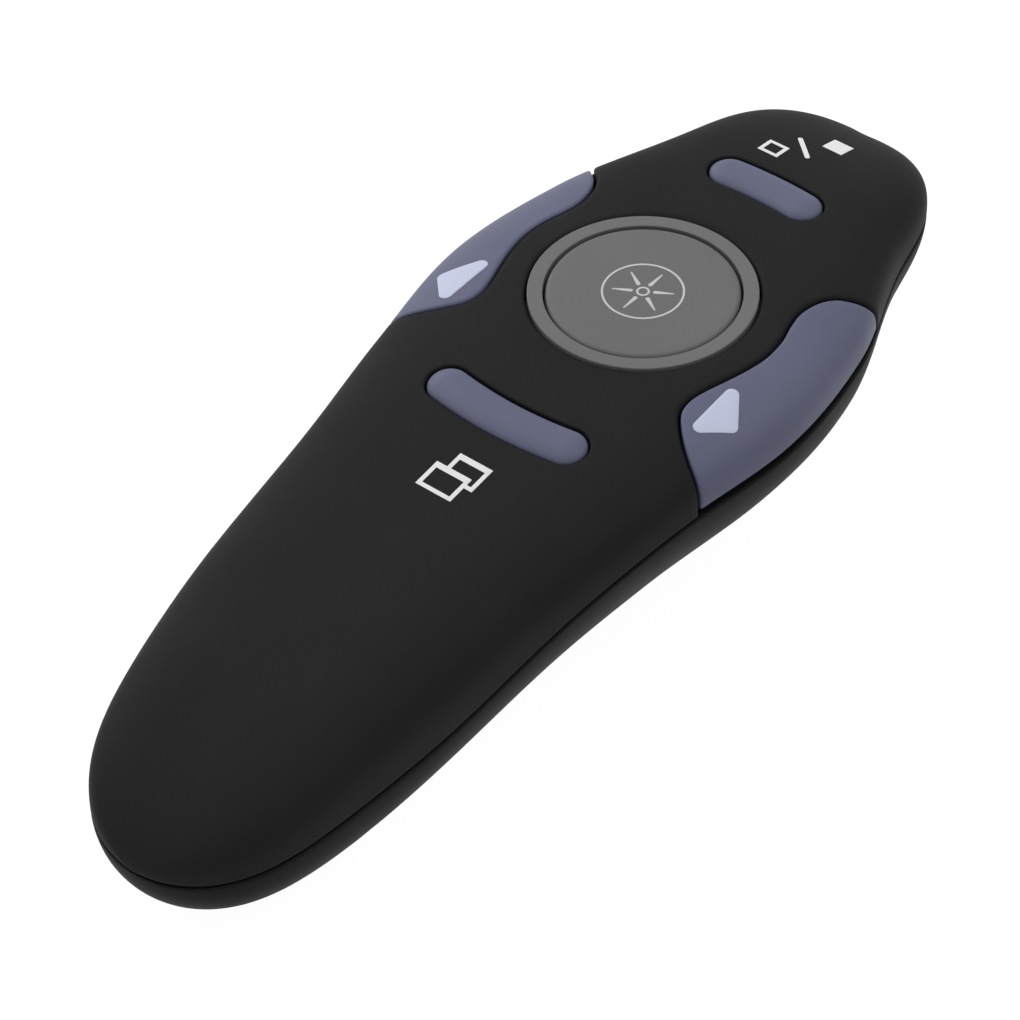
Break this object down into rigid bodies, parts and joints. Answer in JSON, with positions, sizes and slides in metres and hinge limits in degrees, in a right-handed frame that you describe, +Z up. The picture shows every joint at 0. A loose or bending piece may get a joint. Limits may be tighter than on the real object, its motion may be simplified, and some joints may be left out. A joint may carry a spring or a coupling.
{
  "type": "wireless presentation clicker",
  "caption": "Hand-held wireless presenter with a round laser button, side wing buttons, two pill buttons, a battery door and a stored USB receiver.",
  "frame": {"origin": "centre of the footprint, on the table that the clicker lies on", "axes": "+Y along the body towards the nose and the laser beam, +X to the next button, +Z up through the round button"},
  "size_m": [0.0384, 0.1036, 0.024],
  "materials": {
    "shell_top": "fine matt moulded black",
    "shell_bottom": "fine matt moulded black",
    "ring_grey": "satin grey",
    "button_grey": "satin grey",
    "button_blue": "satin blue-grey",
    "cell_wrap": "metal can in a plain printed sleeve",
    "contact_metal": "nickel plated",
    "spring_steel": "bright nickel",
    "board_green": "solder mask",
    "switch_black": "matt",
    "chip_black": "moulded epoxy",
    "copper": "bare copper",
    "knob_dark": "matt",
    "brass": "turned",
    "lens_clear": "clear",
    "window_red": "polished dark red",
    "receiver_black": "matt",
    "plug_steel": "nickel plated sheet",
    "tongue_white": "plain",
    "screw_steel": "zinc plated"
  },
  "bodies": {
    "housing": {"upper_shell": "shell_top", "lower_shell": "shell_bottom", "ring_bezel": "ring_grey", "cell_left": "cell_wrap", "cell_right": "cell_wrap", "bridge_contact": "contact_metal", "positive_contact": "contact_metal", "negative_contact": "contact_metal", "tail_spring": "spring_steel", "front_spring": "spring_steel", "main_board": "board_green", "tact_switches": "switch_black", "radio_chip": "chip_black", "crystal": "contact_metal", "antenna": "copper", "slide_switch": "contact_metal", "laser_barrel": "brass", "laser_lens": "lens_clear", "laser_diode": "brass", "laser_board": "board_green", "laser_window": "window_red", "case_screws": "screw_steel"},
    "laser_key": {"laser_button": "button_grey"},
    "previous_key": {"previous_button": "button_blue"},
    "next_key": {"next_button": "button_blue"},
    "blank_key": {"blank_button": "button_blue"},
    "window_key": {"window_button": "button_blue"},
    "door": {"battery_cover": "shell_bottom"},
    "power_slider": {"power_knob": "knob_dark"},
    "receiver": {"receiver_cap": "receiver_black", "receiver_plug": "plug_steel", "receiver_tongue": "tongue_white", "receiver_board": "board_green"}
  },
  "joints": [
    {"name": "laser_press", "type": "slide", "parent": "housing", "child": "laser_key", "axis": [0, 0, -1], "range_m": [0, 0.0005], "stiffness_N_per_m": 2400},
    {"name": "previous_press", "type": "slide", "parent": "housing", "child": "previous_key", "axis": [0, 0, -1], "range_m": [0, 0.0005], "stiffness_N_per_m": 2400},
    {"name": "next_press", "type": "slide", "parent": "housing", "child": "next_key", "axis": [0, 0, -1], "range_m": [0, 0.0005], "stiffness_N_per_m": 2400},
    {"name": "blank_press", "type": "slide", "parent": "housing", "child": "blank_key", "axis": [0, 0, -1], "range_m": [0, 0.0005], "stiffness_N_per_m": 2400},
    {"name": "window_press", "type": "slide", "parent": "housing", "child": "window_key", "axis": [0, 0, -1], "range_m": [0, 0.0005], "stiffness_N_per_m": 2400},
    {"name": "door_hinge", "type": "hinge", "parent": "housing", "child": "door", "pos_m": [0, 0.0106, 0.0022], "axis": [1, 0, 0], "range_deg": [0, 75]},
    {"name": "power_slide", "type": "slide", "parent": "housing", "child": "power_slider", "axis": [0, 1, 0], "range_m": [0, 0.0025]},
    {"name": "receiver_pull", "type": "slide", "parent": "housing", "child": "receiver", "axis": [0, 0, -1], "range_m": [0, 0.009]}
  ]
}
